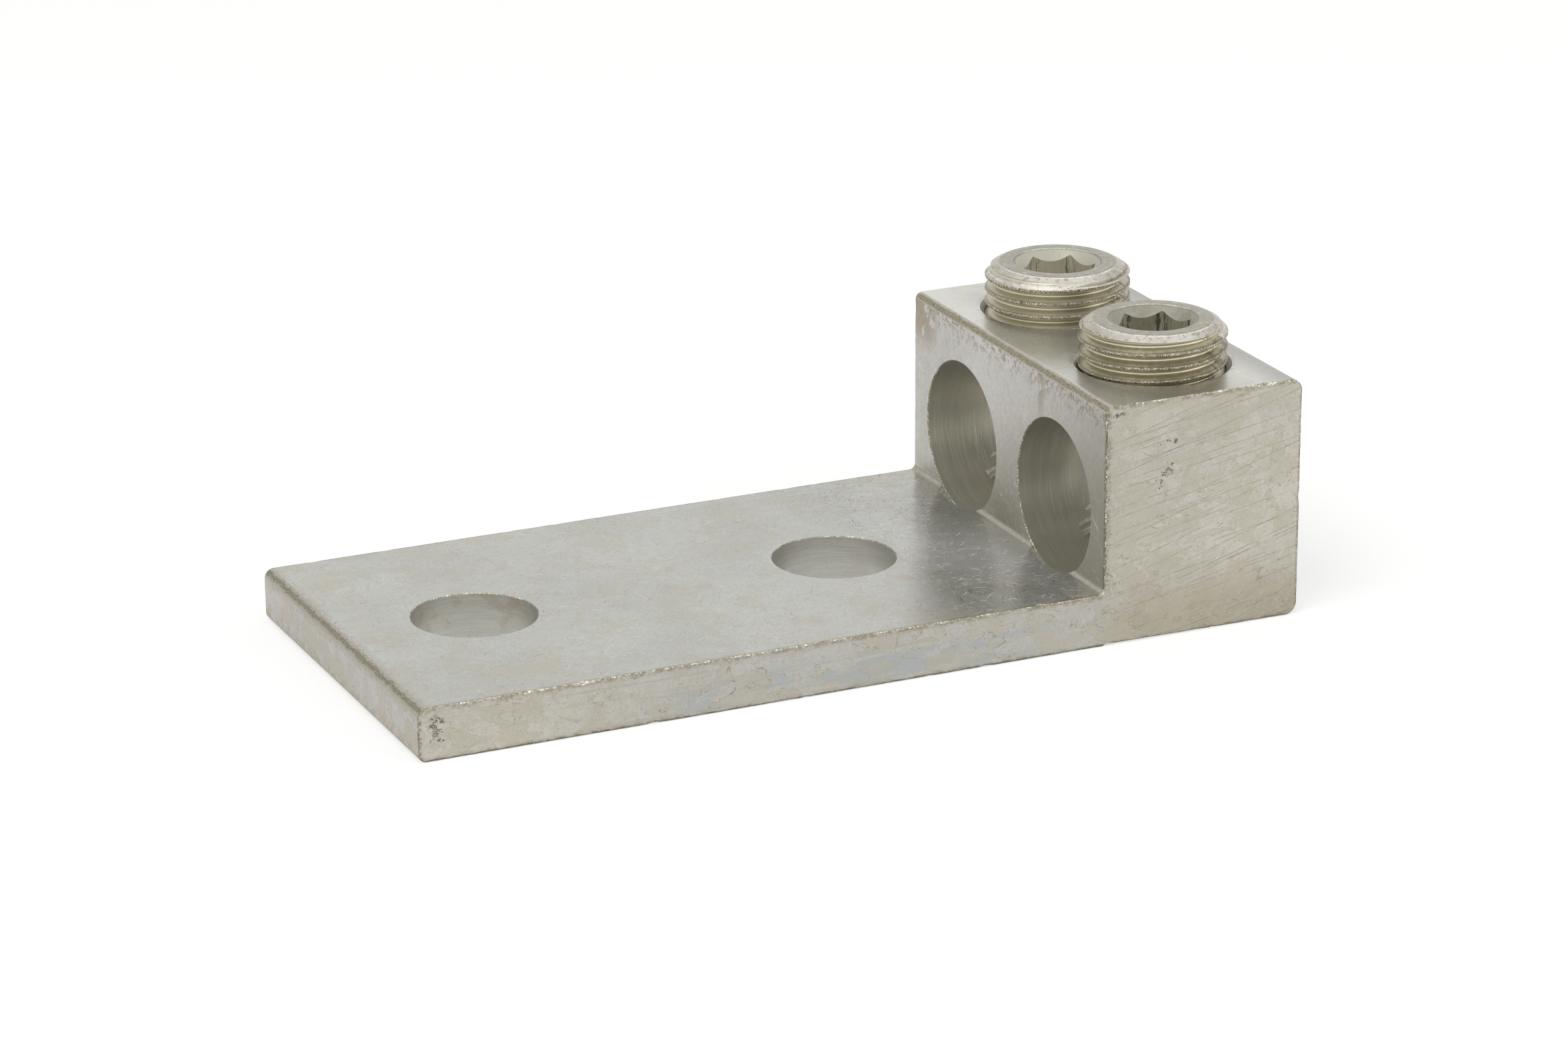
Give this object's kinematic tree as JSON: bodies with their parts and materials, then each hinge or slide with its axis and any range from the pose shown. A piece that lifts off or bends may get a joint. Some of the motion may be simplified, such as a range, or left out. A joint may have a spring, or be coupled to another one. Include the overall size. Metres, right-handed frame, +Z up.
{
  "type": "panelboard lug",
  "caption": "Mechanical lug with a flat tongue drilled for mounting bolts and a raised block with wire bores, each clamped by a hex socket set screw from above.",
  "frame": {"origin": "midway between the two bolt holes, on the tongue's contact face", "axes": "+X along the tongue from its free end to the conductor block, +Z up along the bolt holes and the set screws"},
  "size_m": [0.1078, 0.049, 0.034],
  "materials": {
    "lug": "tin plated, satin",
    "right_screw": "tin plated, bright",
    "left_screw": "tin plated, bright"
  },
  "bodies": {
    "lug": {"lug_body": "lug"},
    "right_screw": {"right_set_screw": "right_screw"},
    "left_screw": {"left_set_screw": "left_screw"}
  },
  "joints": [
    {"name": "right_screw_travel", "type": "slide", "parent": "lug", "child": "right_screw", "axis": [0, 0, 1], "range_m": [-0.01429, 0.00159]},
    {"name": "left_screw_travel", "type": "slide", "parent": "lug", "child": "left_screw", "axis": [0, 0, 1], "range_m": [-0.01429, 0.00159]}
  ]
}
